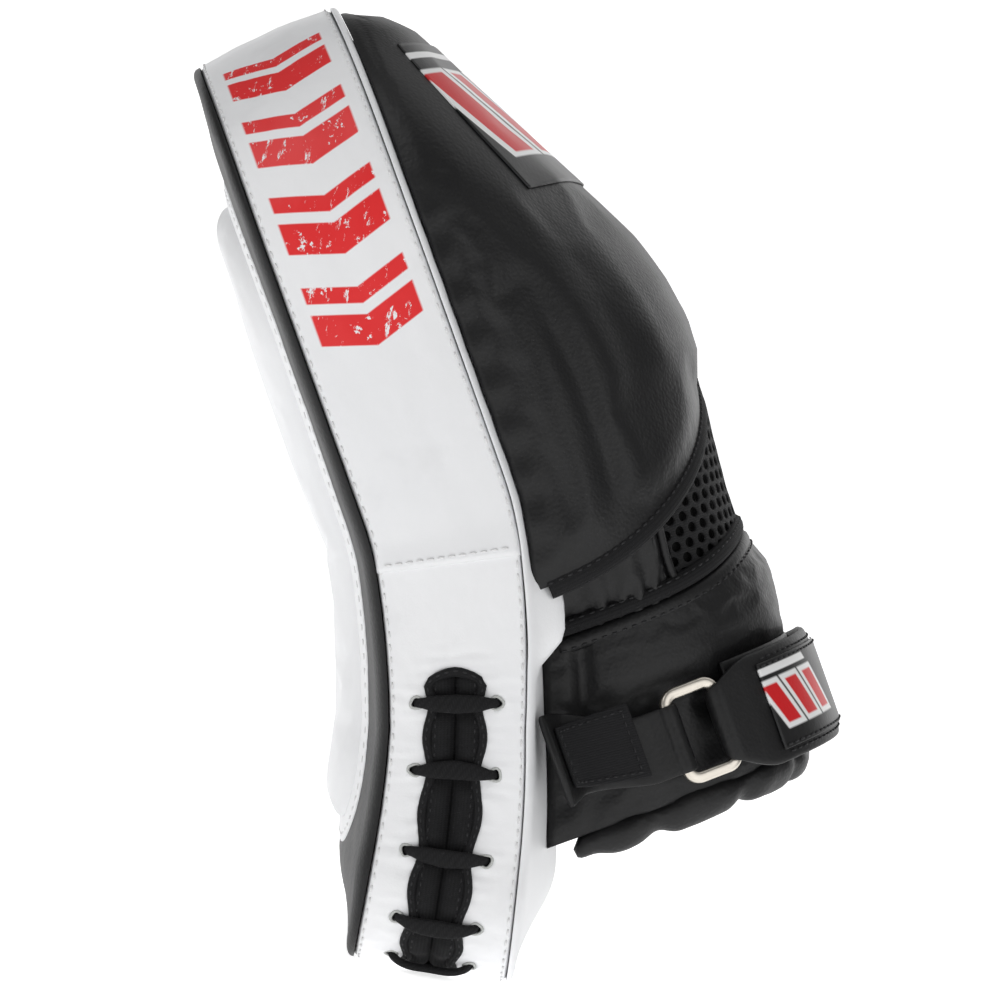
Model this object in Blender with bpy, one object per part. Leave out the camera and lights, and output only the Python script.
"""Curved focus mitt: a padded striking plate with a glove on its back.

Frame: +Z up with the mitt standing on its wrist end, the striking face towards -Y,
the glove towards +Y, the little-finger side at +X. Metres throughout.
"""
import math

import bmesh
import bpy
import numpy as np
from mathutils import Vector

# Fits
GAP = 0.0003              # between pieces that touch
RUNNING = 0.00035         # round a bar that turns
SEAT = 0.0008             # under the raised target, whose facets cross those of the cover

# Pad outline, measured along the bent middle line of its side wall
PAD_LENGTH = 0.280
WRIST_HALF_WIDTH = 0.088
FINGER_HALF_WIDTH = 0.097
WRIST_CORNER = 0.028
FINGER_CORNER = 0.070

# Bend of the middle line: distance from the wrist end, lean towards the striking side
LEAN_STATIONS = (0.0, 0.035, 0.100, 0.118, 0.136, 0.240, 0.280)
LEAN_DEGREES = (0.0, 1.5, 13.5, 17.0, 29.0, 29.5, 34.0)

# Half of the side wall's height along the same line
WALL_STATIONS = (0.0, 0.070, 0.130, 0.280)
WALL_HALF = (0.0218, 0.0190, 0.0206, 0.0206)

# Crowns of the two faces along the same line
CROWN_STATIONS = (0.0, 0.030, 0.110, 0.230, 0.280)
FRONT_CROWN = (0.0065, 0.0090, 0.0070, 0.0045, 0.0030)
BACK_CROWN = (0.0080, 0.0100, 0.0020, 0.0015, 0.0010)

# Layers of the pad
COVER_THICKNESS = 0.0018
BAND_THICKNESS = 0.0020
BAND_PUFF = 0.0012
SHEET_THICKNESS = 0.0040
BOARD_THICKNESS = 0.0030
LACE_CHANNEL = 0.0048     # room between the side wall and the foam
BAND_SEAM = 0.120         # where the two wall pieces meet

# Raised target on the striking face
TARGET_START = 0.038
TARGET_END = 0.238
TARGET_WRIST_HALF = 0.060
TARGET_FINGER_HALF = 0.070
TARGET_WRIST_CORNER = 0.024
TARGET_FINGER_CORNER = 0.050
TARGET_HEIGHT = 0.0075
TARGET_RIM = 0.0030
FLANGE_WIDTH = 0.0075
FLANGE_THICKNESS = 0.0013
TARGET_SLOPE = 0.0120      # how far in from its edge the target is at full height
TARGET_END_SLOPE = 0.0100

# Lacing slot in the wall, along the outline from the middle of the wrist end
SLOT_START = 0.0670
SLOT_END = 0.1645
SLOT_FRONT = -0.0085
SLOT_BACK = 0.0072
SLOT_BIND_RADIUS = 0.0015
TONGUE_THICKNESS = 0.0014
LACE_ROWS = (0.0755, 0.0915, 0.1110, 0.1345, 0.1540)
LACE_FRONT = -0.0115
LACE_BACK = 0.0110
LACE_RADIUS = 0.0011
LACE_HOLE_RADIUS = 0.0021
LACE_STAND = 0.0016        # from the wall's face to the side of the lace where it crosses the slot
LACE_STEP = 0.0014         # from a hole to where the lace starts to lie flat
LACE_FLAT = 0.0045         # from a hole to where the lace lies flat
LACE_RISE = 0.72           # share of its stand that the lace has at the first of these
CUTTER_REACH = 0.006       # how far the cutters of the slot and the holes pass the wall's face
HOLE_OUTSIDE = 0.003
TONGUE_OVERLAP = 0.001     # of the tongue behind the slot's long edges
TONGUE_END_GAP = 0.002
TONGUE_END = 0.004

# Glove, measured down the hand from just past the pad's finger end
HAND_START = 0.0056
HAND_DATUM = 0.080         # from the pad's finger end to where the glove's frame stands on the wall
HAND_LEAN_DEGREES = 29.0
HOOD_STATIONS = (0.0080, 0.0120, 0.0180, 0.0330, 0.0650, 0.0960, 0.1110, 0.1250, 0.1340, 0.1440, 0.190)
HOOD_HEIGHT = (0.0045, 0.0140, 0.0195, 0.0270, 0.0440, 0.0600, 0.0660, 0.0698, 0.0706, 0.0685, 0.0670)
HOOD_WALL = 0.0060
HOOD_SEAM_INSET = 0.0022
HOOD_EDGE_CURVE = 1.3
HOOD_EDGE_MIDDLE = 0.1400
HOOD_EDGE_SIDE = 0.1840
BINDING_RADIUS = 0.0026
HAND_STATIONS = (0.140, 0.160, 0.175, 0.187, 0.200, 0.215, 0.230, 0.250, 0.262)
HAND_HALF_WIDTH = (0.0770, 0.0755, 0.0720, 0.0665, 0.0615, 0.0595, 0.0585, 0.0575, 0.0560)
HAND_HEIGHT = (0.0660, 0.0634, 0.0620, 0.0618, 0.0640, 0.0622, 0.0612, 0.0605, 0.0570)
MESH_HALF_WIDTH = 0.0640
MESH_THICKNESS = 0.0030
PANEL_THICKNESS = 0.0025
PANEL_TUCK = 0.0120
PANEL_BLEND = 0.0080       # over which the panels' upper edge drops from beside the mesh to the tuck
PANEL_DATUM = 0.0250
MESH_DATUM = 0.0300
MESH_SEAM_ANGLE = 0.009
PANEL_START_GAP = 0.001
CUFF_TOP_SIDE = 0.1990
CUFF_TOP_MIDDLE = 0.1885
CUFF_END = 0.2545
CUFF_WALL = 0.0085
HEM_RADIUS = 0.0047
ARCH_SQUARENESS = 0.82
HOOD_SQUARENESS = 0.90

# Thumb pocket and palm ball on the back panel, under the hood
THUMB_X = -0.0620
THUMB_START = 0.0980
THUMB_END = 0.1580
THUMB_RADIUS = 0.0165
THUMB_WALL = 0.0020
PALM_T = 0.1450
PALM_X = 0.0100
PALM_RADIUS = 0.0340
PALM_HEIGHT = 0.0170
PALM_CLEARANCE = 0.0008

# Wrist strap, ring and pull tab, down the hand and round it
STRAP_MIDDLE = 0.2370
STRAP_WIDTH = 0.0300
STRAP_THICKNESS = 0.0024
STRAP_LIFT = 0.0006
STRAP_START_TURN = 6.5     # degrees from the ring's far bar to the strap's end
STRAP_END_ANGLE = 168.0
PATCH_THICKNESS = 0.0010
PATCH_NARROWING = 0.0040
LOOP_PATCH_ANGLE = 52.0
LOOP_PATCH_PAST = 8.0      # degrees of loop face past the tab's end
HOOK_PATCH_ANGLE = 56.0
HOOK_PATCH_SHORT = 3.0
TAB_THICKNESS = 0.0025
TAB_WIDTH = 0.0330
TAB_MIDDLE = 0.2390
ANCHOR_WIDTH = 0.0270
ANCHOR_MIDDLE = 0.2310
ANCHOR_PATCH_WIDTH = 0.0230
RING_BAR_RADIUS = 0.0016
RING_LENGTH = 0.0285
RING_CORNER = 0.0035
RING_MIDDLE = 0.2380
LOOP_LENGTH = 0.0200
LOOP_THICKNESS = 0.0014
RING_NEAR_ANGLE = 21.6
RING_FAR_ANGLE = 34.4
RING_LIFT = 0.0052
TAB_JOINT_ANGLE = 96.0
TAB_END_ANGLE = 128.0
TAB_START_TURN = 5.2
TAB_JOINT_TURN = 0.5
TAB_TIP_SHARE = 0.8
BADGE_THICKNESS = 0.0008
BADGE_START = 0.0240
BADGE_END = 0.0720
BADGE_SPREAD_START = 52.0
BADGE_SPREAD_END = 44.0
BADGE_LIFT = 0.0003
TAB_BADGE_ANGLE = 46.0
TAB_BADGE_SPREAD = 42.0
TAB_BADGE_NARROWING = 0.0070
ANCHOR_THICKNESS = 0.0022
ANCHOR_INSET = 0.0015      # of the anchor tab's root from the pad's side
ANCHOR_ROOT_LIFT = 0.0020
ANCHOR_TOP_GAP = 0.0004

# Mesh fineness
CORNER_STEPS = 7
SIDE_STEPS = 14
FLAT_STEPS = 2
ACROSS_STEPS = 8
ARCH_STEPS = 22
HOLE_STEPS = 10
TABLE_STEP = 0.0005


def clear_scene():
    for item in list(bpy.data.objects):
        bpy.data.objects.remove(item)


def finish(name, colour, roughness, metallic=0.0):
    made = bpy.data.materials.new(name)
    made.use_nodes = True
    shader = made.node_tree.nodes["Principled BSDF"]
    shader.inputs["Base Color"].default_value = (*colour, 1.0)
    shader.inputs["Roughness"].default_value = roughness
    shader.inputs["Metallic"].default_value = metallic
    return made


def smooth(value):
    value = min(1.0, max(0.0, value))
    return value * value * (3.0 - 2.0 * value)


# The pad's bent middle line, summed in short steps
TABLE_S = np.arange(-0.02, PAD_LENGTH + 0.04, TABLE_STEP)
TABLE_LEAN = np.radians(np.interp(TABLE_S, LEAN_STATIONS, LEAN_DEGREES))
TABLE_Y = -np.cumsum(np.sin(TABLE_LEAN)) * TABLE_STEP
TABLE_Z = np.cumsum(np.cos(TABLE_LEAN)) * TABLE_STEP
TABLE_Y = TABLE_Y - np.interp(0.0, TABLE_S, TABLE_Y)
TABLE_Z = TABLE_Z - np.interp(0.0, TABLE_S, TABLE_Z)


def pad_point(along, across, depth):
    """A point of the pad: along its middle line, across it, and behind it."""
    lean = float(np.interp(along, TABLE_S, TABLE_LEAN))
    y = float(np.interp(along, TABLE_S, TABLE_Y)) + depth * math.cos(lean)
    z = float(np.interp(along, TABLE_S, TABLE_Z)) + depth * math.sin(lean)
    return Vector((across, y, z))


def wall_half(along):
    return float(np.interp(along, WALL_STATIONS, WALL_HALF))


class Outline:
    """A rounded outline on the pad: straight ends, quarter-round corners, smooth sides."""

    def __init__(self, start, end, half_start, half_end, corner_start, corner_end):
        self.start = start
        self.end = end
        self.half_start = half_start
        self.half_end = half_end
        self.corner_start = corner_start
        self.corner_end = corner_end
        self.path = self.half_path()
        lengths = [0.0]
        for before, after in zip(self.path, self.path[1:]):
            lengths.append(lengths[-1] + math.hypot(after[0] - before[0], after[1] - before[1]))
        self.lengths = lengths

    def half_path(self):
        """From the middle of the start end to the middle of the far end, with outward normals."""
        points = []
        flat = self.half_start - self.corner_start
        for step in range(FLAT_STEPS):
            points.append((self.start, flat * step / FLAT_STEPS, -1.0, 0.0))
        low = self.start + self.corner_start
        for step in range(CORNER_STEPS + 1):
            angle = math.pi / 2.0 * step / CORNER_STEPS
            across = flat + self.corner_start * math.sin(angle)
            along = low - self.corner_start * math.cos(angle)
            points.append((along, across, -math.cos(angle), math.sin(angle)))
        high = self.end - self.corner_end
        for step in range(1, SIDE_STEPS):
            along = low + (high - low) * step / SIDE_STEPS
            points.append((along, self.side(along), 0.0, 1.0))
        flat = self.half_end - self.corner_end
        for step in range(CORNER_STEPS + 1):
            angle = math.pi / 2.0 * step / CORNER_STEPS
            across = flat + self.corner_end * math.cos(angle)
            along = high + self.corner_end * math.sin(angle)
            points.append((along, across, math.sin(angle), math.cos(angle)))
        for step in range(1, FLAT_STEPS + 1):
            points.append((self.end, flat * (1.0 - step / FLAT_STEPS), 1.0, 0.0))
        return points

    def side(self, along):
        low = self.start + self.corner_start
        high = self.end - self.corner_end
        share = smooth((along - low) / (high - low))
        return self.half_start + (self.half_end - self.half_start) * share

    def half_width(self, along, inset=0.0):
        low = self.start + self.corner_start
        high = self.end - self.corner_end
        if along < low:
            radius = self.corner_start - inset
            drop = min(radius, low - along)
            return self.half_start - self.corner_start + math.sqrt(radius * radius - drop * drop)
        if along > high:
            radius = self.corner_end - inset
            drop = min(radius, along - high)
            return self.half_end - self.corner_end + math.sqrt(radius * radius - drop * drop)
        return self.side(along) - inset

    def rows(self, inset=0.0):
        """The along values of the outline's points, inset, from end to end."""
        return sorted({round(p[0] - inset * p[2], 7) for p in self.path})

    def at(self, length, inset=0.0):
        """A point of the outline at a signed length from the middle of the start end."""
        place = abs(length)
        index = min(np.searchsorted(self.lengths, place), len(self.path) - 1)
        index = max(index, 1)
        before = self.path[index - 1]
        after = self.path[index]
        share = (place - self.lengths[index - 1]) / (self.lengths[index] - self.lengths[index - 1])
        along, across, n_along, n_across = (b + (a - b) * share for b, a in zip(before, after))
        side = -1.0 if length < 0.0 else 1.0
        return along - inset * n_along, side * (across - inset * n_across)


PAD = Outline(0.0, PAD_LENGTH, WRIST_HALF_WIDTH, FINGER_HALF_WIDTH, WRIST_CORNER, FINGER_CORNER)
TARGET = Outline(
    TARGET_START, TARGET_END, TARGET_WRIST_HALF, TARGET_FINGER_HALF, TARGET_WRIST_CORNER, TARGET_FINGER_CORNER
)


def dome(along, across):
    """1 in the middle of the pad and 0 at its edge."""
    width = PAD.half_width(min(max(along, 0.0), PAD_LENGTH))
    sides = 1.0 - min(1.0, abs(across) / max(width, 0.001)) ** 2
    ends = smooth(along / WRIST_CORNER) * smooth((PAD_LENGTH - along) / WRIST_CORNER)
    return sides * ends


def front_face(along, across):
    """Depth of the seam plane at the front, swollen by the crown."""
    crown = float(np.interp(along, CROWN_STATIONS, FRONT_CROWN))
    return -wall_half(along) - crown * dome(along, across)


def back_face(along, across):
    crown = float(np.interp(along, CROWN_STATIONS, BACK_CROWN))
    return wall_half(along) + crown * dome(along, across)


def add_object(name, mesh_bm, material, flat=False):
    bmesh.ops.recalc_face_normals(mesh_bm, faces=mesh_bm.faces)
    data = bpy.data.meshes.new(name)
    mesh_bm.to_mesh(data)
    mesh_bm.free()
    data.materials.append(material)
    if not flat:
        data.shade_smooth()
        data.set_sharp_from_angle(angle=math.radians(40.0))
    made = bpy.data.objects.new(name, data)
    bpy.context.collection.objects.link(made)
    return made


def loft(name, rings, material, closed=False):
    """A solid through equal rings of points, capped at both ends or closed on itself."""
    work = bmesh.new()
    rows = [[work.verts.new(point) for point in ring] for ring in rings]
    pairs = list(zip(rows, rows[1:]))
    if closed:
        pairs.append((rows[-1], rows[0]))
    count = len(rings[0])
    for lower, upper in pairs:
        for index in range(count):
            following = (index + 1) % count
            work.faces.new((lower[index], lower[following], upper[following], upper[index]))
    if not closed:
        work.faces.new(rows[0])
        work.faces.new(rows[-1])
    return add_object(name, work, material)


def double_skin(name, outer, inner, material):
    """A thick shell between two equal grids of points, closed round its edge."""
    work = bmesh.new()
    tops = [[work.verts.new(point) for point in row] for row in outer]
    bottoms = [[work.verts.new(point) for point in row] for row in inner]
    last_row = len(outer) - 1
    last_column = len(outer[0]) - 1
    for row in range(last_row):
        for column in range(last_column):
            for grid in (tops, bottoms):
                corners = (
                    grid[row][column], grid[row][column + 1], grid[row + 1][column + 1], grid[row + 1][column]
                )
                work.faces.new(corners)
    for column in range(last_column):
        for row in (0, last_row):
            work.faces.new(
                (tops[row][column], tops[row][column + 1], bottoms[row][column + 1], bottoms[row][column])
            )
    for row in range(last_row):
        for column in (0, last_column):
            work.faces.new(
                (tops[row][column], tops[row + 1][column], bottoms[row + 1][column], bottoms[row][column])
            )
    return add_object(name, work, material)


def tube(name, points, radius, material, closed=False, fineness=2):
    """A round cord, roll or bar through points."""
    data = bpy.data.curves.new(name, "CURVE")
    data.dimensions = "3D"
    data.bevel_depth = radius
    data.bevel_resolution = fineness
    data.render_resolution_u = 0
    data.use_fill_caps = True
    spline = data.splines.new("POLY")
    spline.points.add(len(points) - 1)
    for target, point in zip(spline.points, points):
        target.co = (*point, 1.0)
    spline.use_cyclic_u = closed
    data.materials.append(material)
    made = bpy.data.objects.new(name, data)
    bpy.context.collection.objects.link(made)
    return made


def slab(name, outline, inset, back, front, material):
    """A layer of the pad between two depth functions, filling the inset outline."""
    rings = []
    shares = [math.sin(math.pi / 2.0 * (2.0 * step / ACROSS_STEPS - 1.0)) for step in range(ACROSS_STEPS + 1)]
    for along in outline.rows(inset):
        width = outline.half_width(along, inset)
        ring = [pad_point(along, width * share, back(along, width * share)) for share in shares]
        ring += [pad_point(along, width * share, front(along, width * share)) for share in reversed(shares)]
        rings.append(ring)
    return loft(name, rings, material)


def subtract(target, cutter):
    cutter.hide_render = True
    cutter.display_type = "WIRE"
    cut = target.modifiers.new("cut", "BOOLEAN")
    cut.operation = "DIFFERENCE"
    cut.solver = "EXACT"
    cut.object = cutter


# ---------------------------------------------------------------- the pad


def build_pad(leather_black, leather_white, foam, board):
    def cover_back(along, across):
        return front_face(along, across) - GAP

    def cover_front(along, across):
        return cover_back(along, across) - COVER_THICKNESS

    slab("front_cover", PAD, GAP, cover_back, cover_front, leather_black)

    core_inset = BAND_THICKNESS + LACE_CHANNEL
    sheet_front = lambda along, across: front_face(along, across) + GAP
    sheet_back = lambda along, across: sheet_front(along, across) + SHEET_THICKNESS
    slab("impact_sheet", PAD, core_inset, sheet_back, sheet_front, foam)
    board_back = lambda along, across: back_face(along, across) - GAP
    board_front = lambda along, across: board_back(along, across) - BOARD_THICKNESS
    slab("back_board", PAD, core_inset, board_back, board_front, board)
    core_front = lambda along, across: sheet_back(along, across) + GAP
    core_back = lambda along, across: board_front(along, across) - GAP
    slab("foam_core", PAD, core_inset, core_back, core_front, foam)

    panel_front = lambda along, across: back_face(along, across) + GAP
    slab("back_panel", PAD, GAP, back_skin, panel_front, leather_white)


def back_skin(along, across):
    """Outer face of the white back panel."""
    return back_face(along, across) + GAP + COVER_THICKNESS


def cover_skin(along, across):
    """Outer face of the black front cover."""
    return front_face(along, across) - GAP - COVER_THICKNESS


def build_target(leather_white):
    def share_inside(along, across):
        width = TARGET.half_width(min(max(along, TARGET_START), TARGET_END))
        side = max(0.0, width - abs(across))
        end = max(0.0, min(along - TARGET_START, TARGET_END - along))
        return smooth(min(side / TARGET_SLOPE, end / TARGET_END_SLOPE))

    base = lambda along, across: cover_skin(along, across) - SEAT
    top = lambda along, across: (
        base(along, across) - TARGET_RIM - (TARGET_HEIGHT - TARGET_RIM) * share_inside(along, across)
    )
    slab("target_pad", TARGET, 0.0, base, top, leather_white)

    rings = []
    lengths = [*TARGET.lengths, *(-value for value in reversed(TARGET.lengths[1:-1]))]
    for length in lengths:
        inner = TARGET.at(length, -GAP)
        outer = TARGET.at(length, -GAP - FLANGE_WIDTH)
        ring = []
        for along, across in (inner, outer):
            ring.append(pad_point(along, across, base(along, across)))
        for along, across in (outer, inner):
            ring.append(pad_point(along, across, base(along, across) - FLANGE_THICKNESS))
        rings.append(ring)
    loft("target_flange", rings, leather_white, closed=True)


def band_ring(length, outer_inset=0.0, thickness=BAND_THICKNESS):
    along, across = PAD.at(length, outer_inset)
    half = wall_half(along)
    puff = BAND_PUFF * smooth(along / WRIST_CORNER)
    outer_mid = PAD.at(length, outer_inset - puff)
    inner = PAD.at(length, outer_inset + thickness)
    inner_mid = PAD.at(length, outer_inset + thickness - puff)
    return [
        pad_point(along, across, -half),
        pad_point(*outer_mid, 0.0),
        pad_point(along, across, half),
        pad_point(*inner, half),
        pad_point(*inner_mid, 0.0),
        pad_point(*inner, -half),
    ]


def seam_length():
    """Length along the outline at which the cross seam lies."""
    for length, point in zip(PAD.lengths, PAD.path):
        if point[1] > WRIST_HALF_WIDTH * 0.9 and point[0] >= BAND_SEAM:
            return length
    return PAD.lengths[-1] * 0.5


def slot_outline(grow):
    """The lacing slot's outline as (length, depth) pairs, grown outwards; round at both ends."""
    middle = (SLOT_FRONT + SLOT_BACK) / 2.0
    half = (SLOT_BACK - SLOT_FRONT) / 2.0
    points = []
    steps = 6
    for step in range(steps + 1):
        angle = -math.pi / 2.0 + math.pi * step / steps
        points.append((SLOT_END - half + (half + grow) * math.cos(angle), middle + (half + grow) * math.sin(angle)))
    sides = 8
    span = SLOT_END - SLOT_START - 2.0 * half
    for step in range(1, sides):
        points.append((SLOT_END - half - span * step / sides, middle + half + grow))
    for step in range(steps + 1):
        angle = math.pi / 2.0 + math.pi * step / steps
        points.append((SLOT_START + half + (half + grow) * math.cos(angle), middle + (half + grow) * math.sin(angle)))
    for step in range(1, sides):
        points.append((SLOT_START + half + span * step / sides, middle - half - grow))
    return points


def slot_rings():
    """Cross sections of the slot's cutter, one after another along the wall."""
    middle = (SLOT_FRONT + SLOT_BACK) / 2.0
    half = (SLOT_BACK - SLOT_FRONT) / 2.0
    end_steps = 5
    turns = [math.pi / 2.0 * step / end_steps for step in range(end_steps + 1)]
    places = [(SLOT_START + half * (1.0 - math.cos(turn)), half * max(math.sin(turn), 0.1)) for turn in turns]
    span = SLOT_END - SLOT_START - 2.0 * half
    places += [(SLOT_START + half + span * step / 12, half) for step in range(1, 12)]
    places += [
        (SLOT_END - half * (1.0 - math.cos(turn)), half * max(math.sin(turn), 0.1)) for turn in reversed(turns)
    ]
    rings = []
    for length, width in places:
        ring = [wall_point(length, middle + side * width, -CUTTER_REACH) for side in (-1.0, 1.0)]
        ring += [wall_point(length, middle + side * width, CUTTER_REACH) for side in (1.0, -1.0)]
        rings.append(ring)
    return rings


def wall_point(length, depth, inset):
    along, across = PAD.at(length, inset)
    return pad_point(along, across, depth)


def hole_ring(length, depth, inset):
    """A round of points about a lace hole."""
    ring = []
    for step in range(HOLE_STEPS):
        turn = 2.0 * math.pi * step / HOLE_STEPS
        way = Vector((math.cos(turn), math.sin(turn))) * LACE_HOLE_RADIUS
        ring.append(wall_point(length + way.x, depth + way.y, inset))
    return ring


def build_band(leather_white, tape, cord_black, leather_black):
    """The two white walls, the lacing slot with its binding and tongue, and the lace."""
    seam = seam_length()
    total = PAD.lengths[-1]
    sides = [value for value in PAD.lengths if seam + GAP < value < total]
    upper = [seam + GAP / 2.0, *sides, total]
    upper += [-value for value in reversed(upper[:-1])]
    loft("side_band_upper", [band_ring(length) for length in upper], leather_white)

    sides = [value for value in PAD.lengths if 0.0 < value < seam - GAP]
    half = [*sides, seam - GAP / 2.0]
    lower = [-value for value in reversed(half)] + [0.0] + half
    band = loft("side_band_lower", [band_ring(length) for length in lower], leather_white)

    subtract(band, loft("slot_cutter", slot_rings(), leather_black))
    for row, length in enumerate(LACE_ROWS):
        for side, depth in (("front", LACE_FRONT), ("back", LACE_BACK)):
            rings = [hole_ring(length, depth, level) for level in (-HOLE_OUTSIDE, CUTTER_REACH)]
            subtract(band, loft(f"hole_{side}_{row}_cutter", rings, leather_black))

    bind_inset = BAND_THICKNESS / 2.0 - 0.0006
    edge = slot_outline(-SLOT_BIND_RADIUS - GAP)
    tube(
        "slot_binding", [wall_point(length, depth, bind_inset) for length, depth in edge],
        SLOT_BIND_RADIUS, tape, closed=True,
    )

    tongue_top = BAND_THICKNESS + SLOT_BIND_RADIUS + GAP
    tongue_levels = (tongue_top, tongue_top + TONGUE_THICKNESS)
    rings = []
    steps = 14
    for step in range(steps + 1):
        length = SLOT_START + TONGUE_END_GAP + (SLOT_END + TONGUE_END - SLOT_START) * step / steps
        ring = [wall_point(length, SLOT_FRONT - TONGUE_OVERLAP, level) for level in tongue_levels]
        ring += [wall_point(length, SLOT_BACK + TONGUE_OVERLAP, level) for level in reversed(tongue_levels)]
        rings.append(ring)
    loft("slot_tongue", rings, leather_black)
    build_lace(cord_black)


def build_lace(cord_black):
    """One lace: straight across the slot outside, down to the next row inside the wall."""
    inside = BAND_THICKNESS + GAP + LACE_RADIUS + GAP
    over = -(LACE_RADIUS + LACE_STAND)
    route = []
    for row, length in enumerate(LACE_ROWS):
        first, last = (LACE_FRONT, LACE_BACK) if row % 2 == 0 else (LACE_BACK, LACE_FRONT)
        way = 1.0 if last > first else -1.0
        stops = [
            (first, inside), (first, 0.0), (first + way * LACE_STEP, over * LACE_RISE),
            (first + way * LACE_FLAT, over), ((first + last) / 2.0, over), (last - way * LACE_FLAT, over),
            (last - way * LACE_STEP, over * LACE_RISE), (last, 0.0), (last, inside),
        ]
        route += [wall_point(length, depth, inset) for depth, inset in stops]
        if row + 1 < len(LACE_ROWS):
            middle = (length + LACE_ROWS[row + 1]) / 2.0
            route.append(wall_point(middle, last, inside))
    tube("side_lace", route, LACE_RADIUS, cord_black)


# ---------------------------------------------------------------- the glove's frame

HAND_DATUM_ALONG = PAD_LENGTH - HAND_DATUM
HAND_LEAN = math.radians(HAND_LEAN_DEGREES)
HAND_DOWN = Vector((0.0, math.sin(HAND_LEAN), -math.cos(HAND_LEAN)))
HAND_OUT = Vector((0.0, math.cos(HAND_LEAN), math.sin(HAND_LEAN)))
HAND_ORIGIN = (
    pad_point(HAND_DATUM_ALONG, 0.0, wall_half(HAND_DATUM_ALONG))
    - HAND_DOWN * (PAD_LENGTH - HAND_DATUM_ALONG + HAND_START)
)


def glove_point(down, across, out):
    return HAND_ORIGIN + HAND_DOWN * down + HAND_OUT * out + Vector((across, 0.0, 0.0))


def back_height(down, across):
    """How far out the back panel's face lies at a place of the glove's frame."""
    along = PAD_LENGTH + HAND_START - down
    for _ in range(8):
        inside = min(max(along, 0.0005), PAD_LENGTH - 0.0005)
        offset = pad_point(inside, across, back_skin(inside, across)) - HAND_ORIGIN
        along = inside + (offset.dot(HAND_DOWN) - down)
    return offset.dot(HAND_OUT)


def power(value, exponent):
    return math.copysign(abs(value) ** exponent, value)


def arch(down, angle, half_width, height, squareness, base_gap=GAP * 2.0):
    """A point of an arch that stands on the back panel; angle 0 is the little-finger side."""
    base = back_height(down, half_width) + base_gap
    across = half_width * power(math.cos(angle), squareness)
    out = base + (height - base) * abs(math.sin(angle)) ** squareness
    return glove_point(down, across, out)


def hand_size(down):
    width = float(np.interp(down, HAND_STATIONS, HAND_HALF_WIDTH))
    height = float(np.interp(down, HAND_STATIONS, HAND_HEIGHT))
    return width, height


def hand_surface(down, angle, offset=0.0):
    width, height = hand_size(down)
    return arch(down, angle, width + offset, height + offset, ARCH_SQUARENESS)


def hood_size(down, offset=0.0):
    along = PAD_LENGTH + HAND_START - down
    width = PAD.half_width(min(max(along, 0.0), PAD_LENGTH)) - HOOD_SEAM_INSET
    height = float(np.interp(down, HOOD_STATIONS, HOOD_HEIGHT))
    base = back_height(down, width)
    room = max(height - base, 0.003)
    wall = min(offset, room * 0.45)
    return width - wall, base + room - wall


def hood_edge(angle):
    """How far down the hand the hood's lower edge lies, at an angle round the arch."""
    return HOOD_EDGE_MIDDLE + (HOOD_EDGE_SIDE - HOOD_EDGE_MIDDLE) * abs(math.cos(angle)) ** 1.3


def hood_surface(down, angle, offset=0.0):
    width, height = hood_size(down, offset)
    return arch(down, angle, width, height, HOOD_SQUARENESS)


def cuff_edge(angle):
    return CUFF_TOP_SIDE + (CUFF_TOP_MIDDLE - CUFF_TOP_SIDE) * math.sin(angle) ** 4


def arch_angles(steps=ARCH_STEPS, first=0.0, last=math.pi):
    return [first + (last - first) * step / steps for step in range(steps + 1)]


def shell(name, surface, starts, ends, angles, wall, steps, material):
    """A shell over part of an arch, from one edge to the other, walled inwards."""
    outer = []
    inner = []
    for step in range(steps + 1):
        share = step / steps
        outer_row = []
        inner_row = []
        for angle in angles:
            down = starts(angle) + (ends(angle) - starts(angle)) * share
            outer_row.append(surface(down, angle, 0.0))
            inner_row.append(surface(down, angle, wall))
        outer.append(outer_row)
        inner.append(inner_row)
    return double_skin(name, outer, inner, material)


def hand_inner(down, angle, wall):
    return hand_surface(down, angle, -wall)


def mesh_angle(down):
    """The angle at which the air mesh meets the side panels."""
    width, _ = hand_size(down)
    return math.acos((MESH_HALF_WIDTH / width) ** (1.0 / ARCH_SQUARENESS))


def build_hood(leather_black, tape):
    hood_start = lambda angle: HAND_START + 0.0022
    shell("hood_shell", hood_surface, hood_start, hood_edge, arch_angles(), HOOD_WALL, 14, leather_black)
    edge = []
    for angle in arch_angles(26, 0.06, math.pi - 0.06):
        down = hood_edge(angle)
        width, height = hood_size(down, HOOD_WALL / 2.0)
        point = arch(down, angle, width, height, HOOD_SQUARENESS, BINDING_RADIUS)
        edge.append(point + HAND_DOWN * (BINDING_RADIUS + GAP * 2.0))
    tube("hood_binding", edge, BINDING_RADIUS, tape)


def build_hood_badge(badge):
    """A thin printed patch on the hood, near the finger end."""
    outside = []
    inside = []
    for step in range(7):
        down = BADGE_START + (BADGE_END - BADGE_START) * step / 6
        spread = math.radians(BADGE_SPREAD_START + (BADGE_SPREAD_END - BADGE_SPREAD_START) * step / 6)
        angles = arch_angles(10, math.pi / 2.0 - spread, math.pi / 2.0 + spread)
        outside.append([hood_surface(down, angle, -GAP - BADGE_LIFT - BADGE_THICKNESS) for angle in angles])
        inside.append([hood_surface(down, angle, -GAP - BADGE_LIFT) for angle in angles])
    double_skin("hood_badge", outside, inside, badge)


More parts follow.
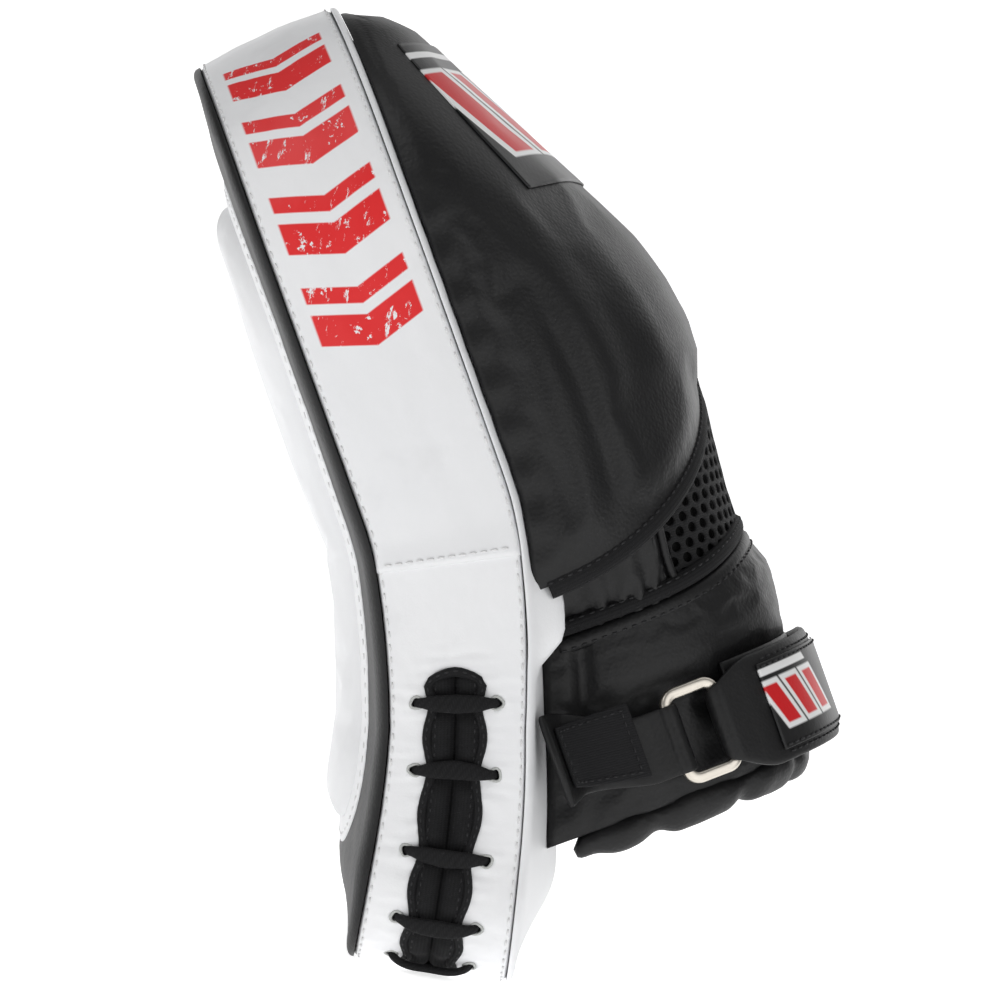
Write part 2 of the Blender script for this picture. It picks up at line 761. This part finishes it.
def build_hand_back(leather_black, mesh_black, tape):
    clear = 2.0 * BINDING_RADIUS + GAP * 4.0

    def panel_start(angle):
        width, _ = hand_size(HOOD_EDGE_MIDDLE + PANEL_DATUM)
        across = width * abs(math.cos(angle)) ** ARCH_SQUARENESS
        share = smooth((across - MESH_HALF_WIDTH) / PANEL_BLEND)
        return hood_edge(angle) + clear + PANEL_START_GAP - (PANEL_TUCK + clear) * share

    def panel_end(angle):
        return cuff_edge(angle) - BINDING_RADIUS - GAP * 2.0

    split = mesh_angle(HOOD_EDGE_MIDDLE + MESH_DATUM)
    shell(
        "mesh_panel", hand_inner, panel_start, panel_end,
        arch_angles(16, split + MESH_SEAM_ANGLE, math.pi - split - MESH_SEAM_ANGLE), MESH_THICKNESS, 6, mesh_black,
    )
    shell(
        "side_panel_near", hand_inner, panel_start, panel_end,
        arch_angles(8, 0.0, split), PANEL_THICKNESS, 6, leather_black,
    )
    shell(
        "side_panel_far", hand_inner, panel_start, panel_end,
        arch_angles(8, math.pi - split, math.pi), PANEL_THICKNESS, 6, leather_black,
    )
    edge = []
    for angle in arch_angles(26, 0.08, math.pi - 0.08):
        edge.append(hand_surface(cuff_edge(angle), angle, -BINDING_RADIUS * 0.5))
    tube("cuff_binding", edge, BINDING_RADIUS, tape)


def build_cuff(leather_black):
    start = lambda angle: cuff_edge(angle) + BINDING_RADIUS + GAP * 2.0
    end = lambda angle: CUFF_END
    shell("cuff", hand_inner, start, end, arch_angles(), CUFF_WALL, 6, leather_black)
    hem = []
    for angle in arch_angles(26, 0.10, math.pi - 0.10):
        down = CUFF_END + HEM_RADIUS + GAP
        hem.append(hand_surface(down, angle, -HEM_RADIUS * 0.9))
    tube("cuff_hem", hem, HEM_RADIUS, leather_black, fineness=2)


def build_inner_glove(leather_black):
    """The thumb pocket and the ball under the palm, both inside the hood."""
    outer = []
    inner = []
    rows = 8
    for row in range(rows + 1):
        share = row / rows
        down = THUMB_START + (THUMB_END - THUMB_START) * share
        bulge = math.sqrt(max(0.0, 1.0 - (1.0 - min(1.0, share * 2.2)) ** 2))
        radius = max(THUMB_RADIUS * bulge, 0.0035)
        outer_row = []
        inner_row = []
        for angle in arch_angles(12):
            for target, size in ((outer_row, radius), (inner_row, radius - THUMB_WALL * max(bulge, 0.4))):
                across = THUMB_X + size * math.cos(angle)
                out = back_height(down, across) + GAP * 2.0 + size * 1.5 * math.sin(angle)
                target.append(glove_point(down, across, out))
        outer.append(outer_row)
        inner.append(inner_row)
    double_skin("thumb_stall", outer, inner, leather_black)

    rings = []
    bands = 5
    levels = [(PALM_RADIUS * step / 4.0, 0.0) for step in range(1, 4)]
    for band in range(bands):
        share = math.sin(math.pi / 2.0 * band / bands)
        levels.append((PALM_RADIUS * math.sqrt(1.0 - share * share), share))
    for radius, share in levels:
        ring = []
        for step in range(20):
            turn = 2.0 * math.pi * step / 20
            down = PALM_T + radius * math.sin(turn)
            across = PALM_X + radius * math.cos(turn)
            out = back_height(down, across) + PALM_CLEARANCE + PALM_HEIGHT * share
            ring.append(glove_point(down, across, out))
        rings.append(ring)
    loft("palm_ball", rings, leather_black)


# ---------------------------------------------------------------- strap, ring and pull tab

STRAP_DOWN = STRAP_MIDDLE - STRAP_WIDTH / 2.0


def strap_place(angle_degrees, offset):
    """Across and out of the strap's curve, which is the same all along its width."""
    width = max(hand_size(STRAP_DOWN + step * STRAP_WIDTH / 4.0)[0] for step in range(6)) + offset
    height = max(hand_size(STRAP_DOWN + step * STRAP_WIDTH / 4.0)[1] for step in range(6)) + offset
    base = back_height(STRAP_DOWN, width)
    angle = math.radians(angle_degrees)
    across = width * power(math.cos(angle), ARCH_SQUARENESS)
    out = base + (height - base) * abs(math.sin(angle)) ** ARCH_SQUARENESS
    return Vector((across, out))


def strap_path(first, last, offset, steps):
    return [strap_place(first + (last - first) * step / steps, offset) for step in range(steps + 1)]


def ribbon(name, path, thickness, middle, widths, material):
    """A flat strip along a path of (across, out), its width along the hand."""
    rings = []
    for index, point in enumerate(path):
        before = path[max(index - 1, 0)]
        after = path[min(index + 1, len(path) - 1)]
        along = (after - before).normalized()
        normal = Vector((along.y, -along.x)) * thickness / 2.0
        share = index / (len(path) - 1)
        half = (widths[0] + (widths[1] - widths[0]) * share) / 2.0
        ring = []
        for side, down in ((1.0, -half), (1.0, half), (-1.0, half), (-1.0, -half)):
            place = point + normal * side
            ring.append(glove_point(middle + down, place.x, place.y))
        rings.append(ring)
    return loft(name, rings, material)


def bar_loop(name, centre, material):
    """A leather loop round one bar of the ring."""
    inner = RING_BAR_RADIUS + RUNNING
    outer = inner + LOOP_THICKNESS
    rings = []
    steps = 16
    for step in range(steps):
        turn = 2.0 * math.pi * step / steps
        way = Vector((math.cos(turn), math.sin(turn)))
        ring = []
        for radius, down in ((inner, -0.5), (outer, -0.5), (outer, 0.5), (inner, 0.5)):
            place = centre + way * radius / math.cos(math.pi / steps)
            ring.append(glove_point(RING_MIDDLE + down * LOOP_LENGTH, place.x, place.y))
        rings.append(ring)
    return loft(name, rings, material, closed=True)


def build_strap(leather_black, webbing, loop_face, hook_face, metal, badge):
    near_bar = strap_place(RING_NEAR_ANGLE, RING_LIFT)
    far_bar = strap_place(RING_FAR_ANGLE, RING_LIFT)

    # strap round the back of the wrist, ending short of the ring's far bar
    strap_offset = STRAP_LIFT + STRAP_THICKNESS / 2.0
    path = strap_path(RING_FAR_ANGLE + STRAP_START_TURN, STRAP_END_ANGLE, strap_offset, 20)
    ribbon("wrist_strap", path, STRAP_THICKNESS, STRAP_MIDDLE, (STRAP_WIDTH, STRAP_WIDTH), leather_black)

    level = STRAP_LIFT + STRAP_THICKNESS + GAP
    patch_width = STRAP_WIDTH - PATCH_NARROWING
    path = strap_path(LOOP_PATCH_ANGLE, TAB_END_ANGLE + LOOP_PATCH_PAST, level + PATCH_THICKNESS / 2.0, 14)
    ribbon("loop_patch", path, PATCH_THICKNESS, STRAP_MIDDLE, (patch_width, patch_width), loop_face)

    level += PATCH_THICKNESS + GAP
    path = strap_path(HOOK_PATCH_ANGLE, TAB_JOINT_ANGLE - HOOK_PATCH_SHORT, level + PATCH_THICKNESS / 2.0, 10)
    ribbon("hook_patch", path, PATCH_THICKNESS, STRAP_MIDDLE, (patch_width, patch_width), hook_face)

    level += PATCH_THICKNESS + GAP
    tab_offset = level + TAB_THICKNESS / 2.0
    path = strap_path(RING_FAR_ANGLE + TAB_START_TURN, TAB_JOINT_ANGLE, tab_offset, 14)
    ribbon("pull_tab", path, TAB_THICKNESS, TAB_MIDDLE, (TAB_WIDTH, TAB_WIDTH), leather_black)
    path = strap_path(TAB_JOINT_ANGLE + TAB_JOINT_TURN, TAB_END_ANGLE + TAB_JOINT_TURN, tab_offset, 8)
    ribbon("tab_tip", path, TAB_THICKNESS, TAB_MIDDLE, (TAB_WIDTH, TAB_WIDTH * TAB_TIP_SHARE), leather_black)

    badge_offset = level + TAB_THICKNESS + GAP + BADGE_THICKNESS / 2.0
    path = strap_path(TAB_BADGE_ANGLE, TAB_BADGE_ANGLE + TAB_BADGE_SPREAD, badge_offset, 8)
    badge_width = TAB_WIDTH - TAB_BADGE_NARROWING
    ribbon("tab_badge", path, BADGE_THICKNESS, TAB_MIDDLE, (badge_width, badge_width), badge)

    # ring: two long bars along the hand, each in its leather loop
    half = RING_LENGTH / 2.0 - RING_BAR_RADIUS
    across = far_bar - near_bar
    reach = across.length / 2.0
    centre = (near_bar + far_bar) / 2.0
    unit = across.normalized()
    bar = []
    corners = ((1, 1), (-1, 1), (-1, -1), (1, -1))
    for number, (side_u, side_v) in enumerate(corners):
        for step in range(5):
            turn = math.pi / 2.0 * (number + step / 4.0)
            u = side_u * (reach - RING_CORNER) + RING_CORNER * math.cos(turn)
            v = side_v * (half - RING_CORNER) + RING_CORNER * math.sin(turn)
            place = centre + unit * u
            bar.append(glove_point(RING_MIDDLE + v, place.x, place.y))
    tube("strap_ring", bar, RING_BAR_RADIUS, metal, closed=True, fineness=2)
    bar_loop("ring_loop", near_bar, leather_black)
    bar_loop("tab_fold", far_bar, leather_black)

    # tab from the pad's back seam up to the ring's leather loop
    outer = RING_BAR_RADIUS + RUNNING + LOOP_THICKNESS
    root_x = WRIST_HALF_WIDTH - ANCHOR_INSET
    root_out = back_height(ANCHOR_MIDDLE - ANCHOR_WIDTH / 2.0, root_x) + ANCHOR_ROOT_LIFT
    top = near_bar + (near_bar - far_bar).normalized() * (outer + GAP + ANCHOR_TOP_GAP)
    curve = (
        Vector((root_x, root_out)), Vector((root_x - 0.008, root_out + 0.0022)),
        Vector((root_x - 0.015, root_out + 0.0068)), Vector((top.x + 0.0035, top.y - 0.0095)), top,
    )
    ribbon("anchor_tab", curve, ANCHOR_THICKNESS, ANCHOR_MIDDLE, (ANCHOR_WIDTH, LOOP_LENGTH), leather_black)
    cover = []
    for index in range(1, len(curve)):
        before = curve[index - 1]
        after = curve[min(index + 1, len(curve) - 1)]
        along = (after - before).normalized()
        outwards = Vector((along.y, -along.x))
        cover.append(curve[index] + outwards * (ANCHOR_THICKNESS / 2.0 + GAP + PATCH_THICKNESS))
    cover = [cover[0].lerp(cover[1], 0.2), *cover[1:-1], cover[-2].lerp(cover[-1], 0.7)]
    ribbon(
        "anchor_patch", cover, PATCH_THICKNESS, ANCHOR_MIDDLE, (ANCHOR_PATCH_WIDTH, LOOP_LENGTH - 0.002), webbing
    )


def main():
    clear_scene()
    leather_black = finish("black_leather", (0.018, 0.018, 0.020), 0.42)
    leather_white = finish("white_leather", (0.86, 0.86, 0.87), 0.38)
    foam = finish("foam", (0.55, 0.56, 0.58), 0.95)
    board = finish("board", (0.30, 0.28, 0.24), 0.8)
    tape = finish("binding_tape", (0.012, 0.012, 0.013), 0.7)
    cord_black = finish("lace", (0.012, 0.012, 0.013), 0.85)
    mesh_black = finish("air_mesh", (0.010, 0.010, 0.011), 0.8)
    webbing = finish("webbing", (0.015, 0.015, 0.016), 0.75)
    loop_face = finish("loop_face", (0.02, 0.02, 0.022), 0.95)
    hook_face = finish("hook_face", (0.02, 0.02, 0.022), 0.8)
    metal = finish("warm_nickel", (0.62, 0.57, 0.50), 0.28, 1.0)
    badge = finish("badge", (0.72, 0.02, 0.03), 0.4)

    build_pad(leather_black, leather_white, foam, board)
    build_target(leather_white)
    build_band(leather_white, tape, cord_black, leather_black)
    build_hood(leather_black, tape)
    build_hood_badge(badge)
    build_hand_back(leather_black, mesh_black, tape)
    build_cuff(leather_black)
    build_inner_glove(leather_black)
    build_strap(leather_black, webbing, loop_face, hook_face, metal, badge)


if __name__ == "__main__":
    main()
